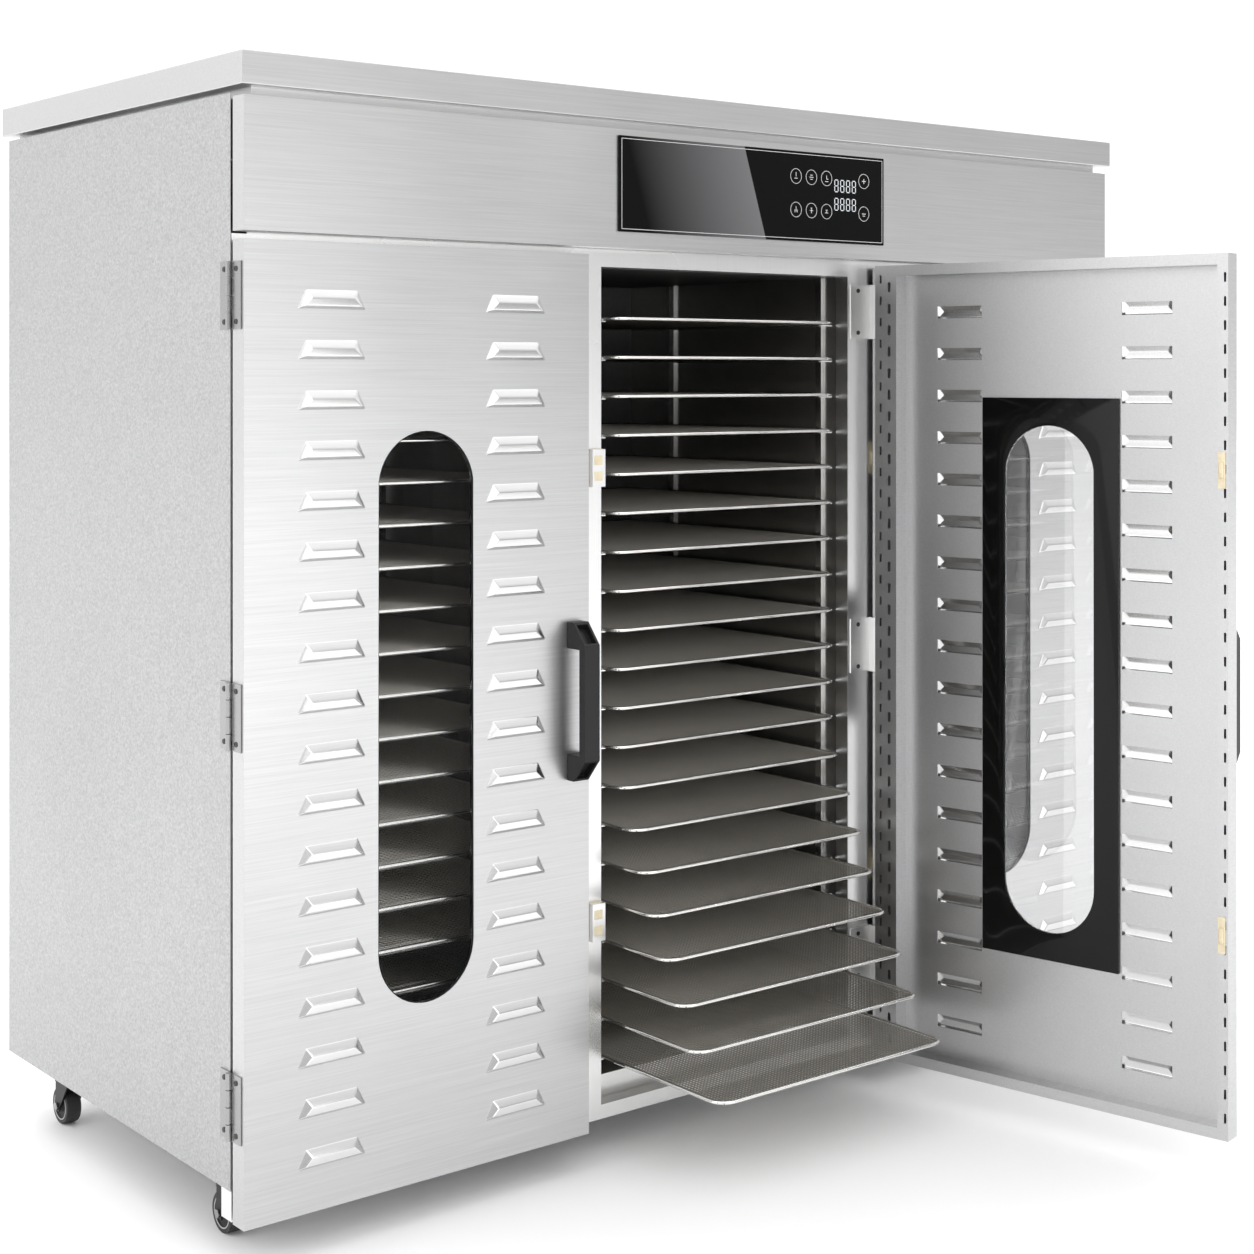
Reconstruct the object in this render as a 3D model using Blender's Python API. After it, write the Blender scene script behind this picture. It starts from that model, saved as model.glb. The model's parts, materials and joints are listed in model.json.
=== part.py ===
"""Three-bay stainless food dehydrator on casters: cabinet, doors, trays, racks, fans and heaters.

Metres, +Z up, front towards -Y. Sizes are written with Y = 0 on the closed doors' outer faces; the empty
"cabinet_origin" then moves everything so that the world origin is the bottom centre of the whole object,
with its middle door standing open and the lower trays drawn out.
"""

import math

import bmesh
import bpy
from mathutils import Matrix, Vector

# Cabinet: the body is as wide as three doors and the gaps between them
SIDE_DOOR_W = 0.505
MIDDLE_DOOR_W = 0.540
DOOR_GAP = 0.006
BODY_HALF = SIDE_DOOR_W + DOOR_GAP + MIDDLE_DOOR_W / 2
SHEET = 0.0012
CLEAR = 0.0003
DOOR_T = 0.027
PANEL_FRONT = 0.033
PANEL_BACK = 0.693
PANEL_BOTTOM = 0.087
PANEL_TOP = 1.377
DOOR_BOTTOM = 0.051
DOOR_TOP = 1.204
FASCIA_BOTTOM = 1.214
FASCIA_TOP = 1.372
LID_BOTTOM = 1.383
LID_TOP = 1.423
LID_OVER = 0.006
LID_BACK = 0.703

# Front frame and chambers
POST_HALF = 0.043
POST_X = MIDDLE_DOOR_W / 2 + DOOR_GAP / 2
FRAME_BACK = 0.058
OPENING_BOTTOM = 0.070
OPENING_TOP = 1.190
FRAME_TOP = 1.212
FRAME_SHEET = 0.0015
END_POST = 0.040
FLOOR_Z = 0.0985
CEILING_Z = 1.1915
BAFFLE_Y = 0.543
WALL_START = 0.0585
WALL_END = 0.688
WELD = 0.0005

# Doors
FLANGE = 0.015
HINGE_FLANGE = 0.036
WINDOW_W = 0.140
WINDOW_H = 0.706
WINDOW_Z = 0.6235
GLASS_W = 0.209
GLASS_H = 0.780
GLASS_T = 0.004
LOUVER_ROWS = 18
LOUVER_PITCH = 0.060
LOUVER_TOP_Z = 1.1355
LOUVER_L = 0.092
LOUVER_GAP = 0.0035
LOUVER_SPREAD = 0.267
MIDDLE_OPEN = math.radians(102)

# Door handles: a black bridge grip with chamfered ends
HANDLE_Z = 0.6214
HANDLE_H = 0.206
HANDLE_GRIP = 0.1374
HANDLE_W = 0.025
HANDLE_OUT = 0.038
HANDLE_BAR = 0.012
HANDLE_IN = 0.0235

# Butt hinges
HINGE_ZS = (1.1387, 0.6454, 0.1885)
HINGE_H = 0.080
LEAF_T = 0.0020
LEAF_W = 0.021
KNUCKLE_R = 0.0037
PIN_R = 0.0018
KNUCKLE_BORE = 0.0022
SIDE_AXIS_Y = 0.030
SIDE_AXIS_OUT = 0.004
MIDDLE_AXIS = (MIDDLE_DOOR_W / 2 + 0.0015, -0.0045)
CRANK_T = 0.0014

# Catches on the posts and strikes on the doors
CATCH_ZS = (0.9215, 0.3175)
CATCH_H = 0.050
CATCH_START = 0.0205
CATCH_OUT = 0.0105

# Trays and racks: twenty levels in each bay
LEVELS = 20
TRAY_TOP_Z = 1.124
TRAY_PITCH = 0.0526
TRAY_H = 0.0050
TRAY_FRONT = 0.030
TRAY_BACK = 0.520
TRAY_SIDE_GAP = 0.022
TRAY_RIM = 0.004
TRAY_FLOOR = 0.0008
TRAY_CORNER = 0.025
TRAY_DRAWS = {13: 0.012, 14: 0.038, 15: 0.060, 16: 0.083, 17: 0.108, 18: 0.140, 19: 0.168, 20: 0.215}
RUNNER_T = 0.0015
RUNNER_START = 0.062
UPRIGHT_YS = (0.091, 0.434)
UPRIGHT_W = 0.012
UPRIGHT_T = 0.004

# Fans and heaters behind each chamber
FAN_Z = 0.640
FAN_R = 0.090
FAN_START = 0.560
FAN_DEPTH = 0.036
MOTOR_START = 0.612
MOTOR_DEPTH = 0.0783
HEATER_R = 0.106
HEATER_TUBE = 0.004

# Control panel
CONTROL_X = 0.0205
CONTROL_Z = 1.2993
CONTROL_W = 0.496
CONTROL_H = 0.128
CONTROL_T = 0.003

# Casters
CASTER_X = BODY_HALF - 0.048
CASTER_YS = (0.112, 0.590)
WHEEL_R = 0.025
WHEEL_W = 0.021
CASTER_TRAIL = 0.014
AXLE_R = 0.0030
STEM_R = 0.0050
FORK_LEG = 0.0025
FORK_TOP_Z = 0.062

BAYS = {"left": -1, "middle": 0, "right": 1}


def free_corner_y():
    """The furthest that the open middle door's free edge reaches forwards of the closed doors."""
    reach = MIDDLE_DOOR_W + MIDDLE_AXIS[0] - MIDDLE_DOOR_W / 2
    depth = DOOR_T - MIDDLE_AXIS[1]
    return MIDDLE_AXIS[1] - reach * math.sin(MIDDLE_OPEN) + depth * math.cos(MIDDLE_OPEN)


def clear_scene():
    for old in list(bpy.data.objects):
        bpy.data.objects.remove(old, do_unlink=True)


def make_collection(name, hidden=False):
    group = bpy.data.collections.new(name)
    bpy.context.scene.collection.children.link(group)
    group.hide_render = hidden
    return group


def make_material(name, colour, roughness, metallic, alpha=1.0):
    made = bpy.data.materials.new(name)
    made.use_nodes = True
    shader = made.node_tree.nodes["Principled BSDF"]
    shader.inputs["Base Color"].default_value = (*colour, 1.0)
    shader.inputs["Roughness"].default_value = roughness
    shader.inputs["Metallic"].default_value = metallic
    shader.inputs["Alpha"].default_value = alpha
    return made


def make_empty(name, x, y, z=0.0, turn=0.0, parent=None):
    pivot = bpy.data.objects.new(name, None)
    parts.objects.link(pivot)
    pivot.location = (x, y, z)
    pivot.rotation_euler.z = turn
    pivot.parent = parent
    return pivot


def place(name, bm, material, pivot=None, group=None):
    """An object from a mesh drawn in the cabinet's frame, with its origin on the pivot that carries it."""
    bmesh.ops.recalc_face_normals(bm, faces=bm.faces)
    holder = pivot or cabinet
    if holder is not cabinet:
        bmesh.ops.translate(bm, verts=bm.verts, vec=-holder.location)
    mesh = bpy.data.meshes.new(name)
    bm.to_mesh(mesh)
    bm.free()
    made = bpy.data.objects.new(name, mesh)
    (group or parts).objects.link(made)
    made.parent = holder
    if material:
        mesh.materials.append(material)
    return made


def cut(target, bm, operation="DIFFERENCE", pivot=None):
    """Cuts a mesh out of the target, or joins one to it, and keeps the tool as a hidden helper."""
    tool = place(target.name + "_tool", bm, None, pivot, cutters)
    tool.hide_render = True
    tool.display_type = "WIRE"
    boolean = target.modifiers.new(operation.title(), "BOOLEAN")
    boolean.operation = operation
    boolean.object = tool
    boolean.solver = "EXACT"
    boolean.use_self = operation == "UNION"


def merge_self(target):
    """Makes one body of a mesh whose shapes overlap, by joining it to one of its own boxes."""
    source = bmesh.new()
    source.from_mesh(target.data)
    source.verts.ensure_lookup_table()
    first = source.verts[0]
    shape, todo = {first}, [first]
    while todo:
        for edge in todo.pop().link_edges:
            for vert in edge.verts:
                if vert not in shape:
                    shape.add(vert)
                    todo.append(vert)
    bmesh.ops.delete(source, geom=[v for v in source.verts if v not in shape], context="VERTS")
    cut(target, source, "UNION")


def add_box(bm, low, high):
    low, high = Vector(low), Vector(high)
    size = high - low
    matrix = Matrix.Translation((low + high) / 2) @ Matrix.Diagonal((*size, 1.0))
    return bmesh.ops.create_cube(bm, size=1.0, matrix=matrix)["verts"]


def add_rod(bm, centre, axis, radius, length, segments=16):
    turn = Vector((0, 0, 1)).rotation_difference(Vector(axis)).to_matrix().to_4x4()
    bmesh.ops.create_cone(
        bm, cap_ends=True, segments=segments, radius1=radius, radius2=radius, depth=length,
        matrix=Matrix.Translation(centre) @ turn,
    )


def add_turned(bm, centre, axis, profile, segments=20):
    """A solid of revolution: the profile is a closed loop of (radius, distance along the axis)."""
    turn = Vector((0, 0, 1)).rotation_difference(Vector(axis)).to_matrix()
    centre = Vector(centre)
    verts = [bm.verts.new(centre + turn @ Vector((r, 0, d))) for r, d in profile]
    ends = list(zip(range(len(profile)), [*range(1, len(profile)), 0]))
    edges = [bm.edges.new((verts[i], verts[j])) for i, j in ends if profile[i][0] or profile[j][0]]
    bmesh.ops.spin(
        bm, geom=verts + edges, cent=centre, axis=turn @ Vector((0, 0, 1)), angle=math.tau, steps=segments,
    )
    bmesh.ops.remove_doubles(bm, verts=bm.verts, dist=0.00002)


def add_stadium(bm, x, z, width, height, y_low, y_high, segments=24):
    """An upright slot shape with round ends, as a block from y_low to y_high."""
    radius = width / 2
    made = bmesh.ops.create_cone(
        bm, cap_ends=True, segments=segments, radius1=radius, radius2=radius, depth=y_high - y_low,
        matrix=Matrix.Translation((x, (y_low + y_high) / 2, z)) @ Matrix.Rotation(math.pi / 2, 4, "X")
        @ Matrix.Rotation(math.pi / segments, 4, "Z"),
    )
    shift = height / 2 - radius
    for vert in made["verts"]:
        vert.co.z += shift if vert.co.z > z else -shift


def outline_bmesh(points, thickness):
    """A flat outline in X and Y, filled and thickened along Z, as a closed mesh."""
    curve = bpy.data.curves.new("outline", "CURVE")
    curve.dimensions = "2D"
    curve.fill_mode = "BOTH"
    curve.extrude = thickness / 2
    spline = curve.splines.new("POLY")
    spline.points.add(len(points) - 1)
    for point, (x, y) in zip(spline.points, points):
        point.co = (x, y, 0, 1)
    spline.use_cyclic_u = True
    holder = bpy.data.objects.new("outline", curve)
    cutters.objects.link(holder)
    mesh = bpy.data.meshes.new_from_object(holder.evaluated_get(bpy.context.evaluated_depsgraph_get()))
    bm = bmesh.new()
    bm.from_mesh(mesh)
    bmesh.ops.remove_doubles(bm, verts=bm.verts, dist=0.00002)
    bpy.data.objects.remove(holder, do_unlink=True)
    bpy.data.meshes.remove(mesh)
    return bm


def bay_limits(side):
    """The chamber's inner width in the bay: its lowest and highest X."""
    inner = POST_X - POST_HALF
    if side == 0:
        return -inner, inner
    low, high = POST_X + POST_HALF, BODY_HALF - END_POST
    return (low, high) if side > 0 else (-high, -low)


def tray_z(level):
    return TRAY_TOP_Z - TRAY_PITCH * (level - 1)


def make_casing():
    """Side panels, back panel, base pan, lid and fascia: folded sheet round the frame."""
    for bay in ("left", "right"):
        side = BAYS[bay]
        low, high = sorted((side * BODY_HALF, side * (BODY_HALF - SHEET)))
        bm = bmesh.new()
        add_box(bm, (low, PANEL_FRONT, PANEL_BOTTOM), (high, PANEL_BACK, PANEL_TOP))
        panel = place(f"{bay}_side_panel", bm, materials["embossed_steel"])
        cut(panel, side_hinge_leaves(side), "UNION")

    inside = BODY_HALF - SHEET - CLEAR
    back_y = PANEL_BACK - 2 * SHEET
    bm = bmesh.new()
    add_box(bm, (-inside, back_y, PANEL_BOTTOM + CLEAR), (inside, back_y + SHEET, FASCIA_TOP + 0.0005))
    back = place("back_panel", bm, materials["embossed_steel"])
    bm = bmesh.new()
    for side in BAYS.values():
        x = sum(bay_limits(side)) / 2
        for row in range(6):
            z = 1.22 + 0.018 * row
            add_box(bm, (x - 0.07, back_y - 0.01, z), (x + 0.07, back_y + 0.01, z + 0.007))
    add_rod(bm, (GLAND_X, back_y, GLAND_Z), (0, 1, 0), 0.0098, 0.02)
    cut(back, bm)

    bm = bmesh.new()
    nut = SHEET + CLEAR
    add_turned(bm, (GLAND_X, back_y, GLAND_Z), (0, 1, 0),
               [(0.005, -0.010), (0.0094, -0.010), (0.0094, nut), (0.014, nut), (0.014, 0.010), (0.005, 0.010)], 16)
    place("power_gland", bm, materials["black_plastic"])

    t = FRAME_SHEET
    bm = bmesh.new()
    add_box(bm, (-inside, WALL_START + 0.002, PANEL_BOTTOM), (inside, WALL_END, FLOOR_Z - CLEAR))
    pan = place("base_pan", bm, materials["brushed_steel"])
    bm = bmesh.new()
    add_box(bm, (-inside + t, WALL_START + 0.002 + t, PANEL_BOTTOM + t), (inside - t, WALL_END - t, 0.12))
    cut(pan, bm)
    bm = bmesh.new()
    for x, y in caster_places():
        add_rod(bm, (x, y, PANEL_BOTTOM), (0, 0, 1), STEM_R + 0.0005, 0.02, 12)
    cut(pan, bm)

    edge = BODY_HALF + LID_OVER
    plug = BODY_HALF - 0.016
    bm = bmesh.new()
    add_box(bm, (-edge, -LID_OVER, LID_BOTTOM), (edge, LID_BACK, LID_TOP))
    lid = place("top_cover", bm, materials["brushed_steel"])
    bm = bmesh.new()
    add_box(bm, (-plug, 0.012, FASCIA_TOP + 0.0008), (plug, PANEL_BACK - 0.001, LID_BOTTOM + 0.004))
    cut(lid, bm, "UNION")
    bm = bmesh.new()
    add_box(bm, (-plug + t, 0.012 + t, FASCIA_TOP - 0.01), (plug - t, PANEL_BACK - 0.001 - t, LID_TOP - t))
    cut(lid, bm)

    s = SHEET
    bm = bmesh.new()
    add_box(bm, (-BODY_HALF, 0, FASCIA_BOTTOM), (BODY_HALF, DOOR_T, FASCIA_TOP))
    fascia = place("front_fascia", bm, materials["brushed_steel"])
    bm = bmesh.new()
    add_box(bm, (-BODY_HALF + s, s, FASCIA_BOTTOM + s), (BODY_HALF - s, DOOR_T + 0.01, FASCIA_TOP - s))
    cut(fascia, bm)
    bm = bmesh.new()
    add_box(bm, (CONTROL_X - 0.19, -0.01, CONTROL_Z - 0.035), (CONTROL_X + 0.19, 0.003, CONTROL_Z + 0.035))
    cut(fascia, bm)
    bm = bmesh.new()
    for x in (-0.55, 0.55):
        add_box(bm, (x - 0.02, 0.008, FASCIA_BOTTOM + s - WELD), (x + 0.02, PANEL_FRONT - CLEAR, FASCIA_BOTTOM + 0.02))
    cut(fascia, bm, "UNION")


def side_hinge_leaves(side):
    """Cabinet halves of a side door's hinges: leaf, lower knuckle and the pin through the upper one."""
    bm = bmesh.new()
    x = side * (BODY_HALF + SIDE_AXIS_OUT)
    low, high = sorted((side * (BODY_HALF - WELD), side * (BODY_HALF + LEAF_T)))
    start = SIDE_AXIS_Y + KNUCKLE_R + CLEAR
    for z in HINGE_ZS:
        add_box(bm, (low, start, z - HINGE_H / 2), (high, start + LEAF_W, z + HINGE_H / 2))
        inner, outer = sorted((side * (BODY_HALF + 0.0003), side * (BODY_HALF + LEAF_T - 0.0003)))
        add_box(bm, (inner, SIDE_AXIS_Y, z - HINGE_H / 2 + 0.0003), (outer, start + 0.001, z - 0.0008))
        add_pin(bm, (x, SIDE_AXIS_Y, z))
    return bm


def add_pin(bm, centre):
    """A hinge's lower knuckle with the pin standing up from it."""
    add_turned(bm, centre, (0, 0, 1),
               [(0, -HINGE_H / 2), (KNUCKLE_R, -HINGE_H / 2), (KNUCKLE_R, -0.0005), (PIN_R, -0.0005),
                (PIN_R, HINGE_H / 2), (0, HINGE_H / 2)], 12)


def make_frame():
    """The welded front frame: posts, header and sill folded from sheet, open at the back.

    The middle door's cranked hinge leaves and the catches of all three doors are fixed to its face.
    """
    half = BODY_HALF - SHEET - CLEAR
    bm = bmesh.new()
    add_box(bm, (-half, PANEL_FRONT, DOOR_BOTTOM), (half, FRAME_BACK, FRAME_TOP))
    frame = place("front_frame", bm, materials["brushed_steel"])
    bm = bmesh.new()
    for side in BAYS.values():
        low, high = bay_limits(side)
        add_box(bm, (low, 0.0, OPENING_BOTTOM), (high, 0.1, OPENING_TOP))
    t = FRAME_SHEET
    y = PANEL_FRONT + t
    for x in (-POST_X, POST_X):
        add_box(bm, (x - POST_HALF + t, y, OPENING_BOTTOM), (x + POST_HALF - t, 0.1, OPENING_TOP))
    for side in (-1, 1):
        low, high = sorted((side * (half - t), side * (BODY_HALF - END_POST + t)))
        add_box(bm, (low, y, OPENING_BOTTOM), (high, 0.1, OPENING_TOP))
    cut(frame, bm)
    bm = bmesh.new()
    for low, high in ((DOOR_BOTTOM, OPENING_BOTTOM), (OPENING_TOP, FRAME_TOP)):
        add_box(bm, (-half + t, y, low + t), (half - t, 0.1, high - t))
    cut(frame, bm)

    bm = bmesh.new()
    add_box(bm, (-half + 0.02, PANEL_FRONT, FRAME_TOP - 2 * WELD), (half - 0.02, PANEL_FRONT + t, FASCIA_TOP - 0.06))
    x, y = MIDDLE_AXIS
    right = x + KNUCKLE_R
    for z in HINGE_ZS:
        bottom, top = z - HINGE_H / 2, z + HINGE_H / 2
        add_box(bm, (right - CRANK_T + 0.0003, y, bottom + 0.0003), (right - 0.0003, 0.001, z - 0.0008))
        add_box(bm, (right - CRANK_T, 0, bottom), (right, PANEL_FRONT + WELD, top))
        add_box(bm, (right - 0.040, PANEL_FRONT - CRANK_T, bottom + 0.0003),
                (right - 0.0003, PANEL_FRONT + WELD, top - 0.0003))
        add_pin(bm, (x, y, z))
    for x, inward in ((-POST_X, 1), (-POST_X, -1), (POST_X, 1)):
        low, high = sorted((x + inward * CATCH_START, x + inward * (POST_HALF - 0.001)))
        for z in CATCH_ZS:
            add_box(bm, (low, PANEL_FRONT - CATCH_OUT, z - CATCH_H / 2), (high, PANEL_FRONT + WELD, z + CATCH_H / 2))
    cut(frame, bm, "UNION")


def make_chambers():
    """Chamber walls under one ceiling, the floor with its front apron, and the baffle in front of the fans."""
    half = BODY_HALF - SHEET - CLEAR
    bottom, top = FLOOR_Z + SHEET + CLEAR, CEILING_Z - CLEAR
    bm = bmesh.new()
    add_box(bm, (-half, WALL_START, CEILING_Z), (half, WALL_END, CEILING_Z + SHEET))
    liner = place("chamber_liner", bm, materials["brushed_steel"])
    bm = bmesh.new()
    for side in BAYS.values():
        low, high = bay_limits(side)
        for x in (low - SHEET, high):
            add_box(bm, (x, WALL_START + WELD, bottom), (x + SHEET, BAFFLE_Y - CLEAR, CEILING_Z + WELD))
    cut(liner, bm, "UNION")

    apron = [(WALL_START, 0.0600), (WALL_START + SHEET, 0.0600), (WALL_START + SHEET, FLOOR_Z),
             (WALL_END, FLOOR_Z), (WALL_END, FLOOR_Z + SHEET), (WALL_START, FLOOR_Z + SHEET)]
    bm = outline_bmesh(apron, 2 * half - 0.06)
    for vert in bm.verts:
        vert.co = Vector((vert.co.z, vert.co.x, vert.co.y))
    place("chamber_floor", bm, materials["brushed_steel"])

    bm = bmesh.new()
    add_box(bm, (-half, BAFFLE_Y, bottom), (half, BAFFLE_Y + SHEET, top))
    baffle = place("rear_air_baffle", bm, materials["dark_enamel"])
    bm = bmesh.new()
    for side in BAYS.values():
        x = sum(bay_limits(side)) / 2
        add_rod(bm, (x, BAFFLE_Y, FAN_Z), (0, 1, 0), FAN_R - 0.004, 0.02, 24)
        for z in (0.20, 0.32, 0.44, 0.84, 0.96, 1.08):
            add_box(bm, (x - 0.15, BAFFLE_Y - 0.01, z), (x + 0.15, BAFFLE_Y + 0.01, z + 0.012))
    cut(baffle, bm)


def rack_boxes(wall, inward, bm):
    """Two uprights against a chamber wall, with a runner across them at every level."""
    near, far = wall + inward * CLEAR, wall + inward * (CLEAR + UPRIGHT_T)
    reach = wall + inward * (TRAY_SIDE_GAP + 0.008)
    for y in UPRIGHT_YS:
        add_box(bm, (min(near, far), y - UPRIGHT_W / 2, FLOOR_Z + 2 * SHEET),
                (max(near, far), y + UPRIGHT_W / 2, CEILING_Z - SHEET))
    low, high = sorted((far - inward * WELD, reach))
    for level in range(1, LEVELS + 1):
        top = tray_z(level) - TRAY_H - CLEAR
        add_box(bm, (low, RUNNER_START, top - RUNNER_T), (high, TRAY_BACK, top))


def make_racks():
    """The middle chamber's two racks, and in each outer chamber a pair joined by tie bars at the back."""
    for name, wall, inward in (("left", -1, 1), ("right", 1, -1)):
        bm = bmesh.new()
        rack_boxes(wall * (POST_X - POST_HALF), inward, bm)
        merge_self(place(f"middle_rack_{name}", bm, materials["bright_steel"]))
    for bay in ("left", "right"):
        low, high = bay_limits(BAYS[bay])
        bm = bmesh.new()
        rack_boxes(low, 1, bm)
        rack_boxes(high, -1, bm)
        y = UPRIGHT_YS[1]
        for z in (FLOOR_Z + 0.004, CEILING_Z - 0.014):
            add_box(bm, (low + UPRIGHT_T, y - 0.003, z), (high - UPRIGHT_T, y + 0.003, z + 0.008))
        merge_self(place(f"{bay}_bay_rack", bm, materials["bright_steel"]))


def make_tray(level):
    """A mesh tray of the middle bay: a rounded rim with a thin floor, on its own sliding pivot."""
    half = POST_X - POST_HALF - TRAY_SIDE_GAP
    draw = TRAY_DRAWS.get(level, 0.0)
    z = tray_z(level)
    pivot = make_empty(f"tray_slide_{level:02d}", 0, (TRAY_FRONT + TRAY_BACK) / 2 - draw, z, parent=cabinet)
    bm = bmesh.new()
    add_box(bm, (-half, TRAY_FRONT - draw, z - TRAY_H), (half, TRAY_BACK - draw, z))
    upright = [e for e in bm.edges if abs(e.verts[0].co.z - e.verts[1].co.z) > TRAY_H / 2]
    bmesh.ops.bevel(bm, geom=upright, offset=TRAY_CORNER, segments=3, profile=0.5, affect="EDGES")
    top = max(bm.faces, key=lambda f: f.calc_center_median().z)
    bmesh.ops.inset_individual(bm, faces=[top], thickness=TRAY_RIM, use_even_offset=True)
    bmesh.ops.translate(bm, verts=top.verts, vec=(0, 0, TRAY_FLOOR - TRAY_H))
    place(f"tray_{level:02d}", bm, materials["bright_steel"], pivot)


def make_fans():
    """In the plenum behind each chamber: an impeller, and its motor with the ring heater it carries."""
    for bay, side in BAYS.items():
        x = sum(bay_limits(side)) / 2
        pivot = make_empty(f"fan_axis_{bay}", x, FAN_START, FAN_Z, parent=cabinet)
        end = FAN_START + FAN_DEPTH
        bm = bmesh.new()
        add_turned(bm, (x, end, FAN_Z), (0, 1, 0),
                   [(0.0045, -0.022), (0.012, -0.022), (0.012, -0.002), (FAN_R, -0.002), (FAN_R, 0.0),
                    (0.0045, 0.0)], 20)
        impeller = place(f"fan_impeller_{bay}", bm, materials["bright_steel"], pivot)
        bm = bmesh.new()
        for blade in range(8):
            turn = Matrix.Translation((x, 0, FAN_Z)) @ Matrix.Rotation(blade * math.tau / 8, 4, "Y")
            verts = add_box(bm, (0.050, FAN_START, -0.0008), (FAN_R - 0.003, end - 0.001, 0.0008))
            bmesh.ops.transform(bm, matrix=turn, verts=verts)
        cut(impeller, bm, "UNION", pivot)

        depth = MOTOR_DEPTH
        bm = bmesh.new()
        add_turned(bm, (x, MOTOR_START, FAN_Z), (0, 1, 0),
                   [(0, -0.050), (0.004, -0.050), (0.004, 0), (0.042, 0), (0.042, depth - 0.004),
                    (0.060, depth - 0.004), (0.060, depth), (0, depth)], 16)
        motor = place(f"fan_motor_{bay}", bm, materials["dark_enamel"])
        bm = bmesh.new()
        y = MOTOR_START + 0.012
        add_box(bm, (x - HEATER_R, y, FAN_Z - 0.006), (x + HEATER_R, y + 0.002, FAN_Z + 0.006))
        for arm in (-1, 1):
            add_box(bm, (x + arm * HEATER_R - 0.0015, 0.572, FAN_Z - 0.005),
                    (x + arm * HEATER_R + 0.0015, y + 0.001, FAN_Z + 0.005))
        circle = [(HEATER_R + HEATER_TUBE * math.cos(a), HEATER_TUBE * math.sin(a))
                  for a in (math.tau * step / 6 for step in range(6))]
        add_turned(bm, (x, 0.572, FAN_Z), (0, 1, 0), circle, 24)
        cut(motor, bm, "UNION")


def make_controls():
    """The touch glass in front of the fascia, and the circuit board behind its cut-out."""
    bm = bmesh.new()
    add_box(bm, (CONTROL_X - CONTROL_W / 2, -CONTROL_T - CLEAR, CONTROL_Z - CONTROL_H / 2),
            (CONTROL_X + CONTROL_W / 2, -CLEAR, CONTROL_Z + CONTROL_H / 2))
    place("control_glass", bm, materials["black_glass"])
    bm = bmesh.new()
    y = SHEET + CLEAR
    add_box(bm, (CONTROL_X - 0.21, y, CONTROL_Z - 0.045), (CONTROL_X + 0.21, y + 0.0016, CONTROL_Z + 0.045))
    board = place("control_board", bm, materials["circuit_green"])
    bm = bmesh.new()
    add_box(bm, (CONTROL_X + 0.14, CLEAR, CONTROL_Z - 0.022), (CONTROL_X + 0.187, y + WELD, CONTROL_Z + 0.032))
    add_box(bm, (CONTROL_X - 0.18, y + 0.001, CONTROL_Z - 0.025), (CONTROL_X - 0.13, 0.0220, CONTROL_Z + 0.025))
    cut(board, bm, "UNION")


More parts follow.
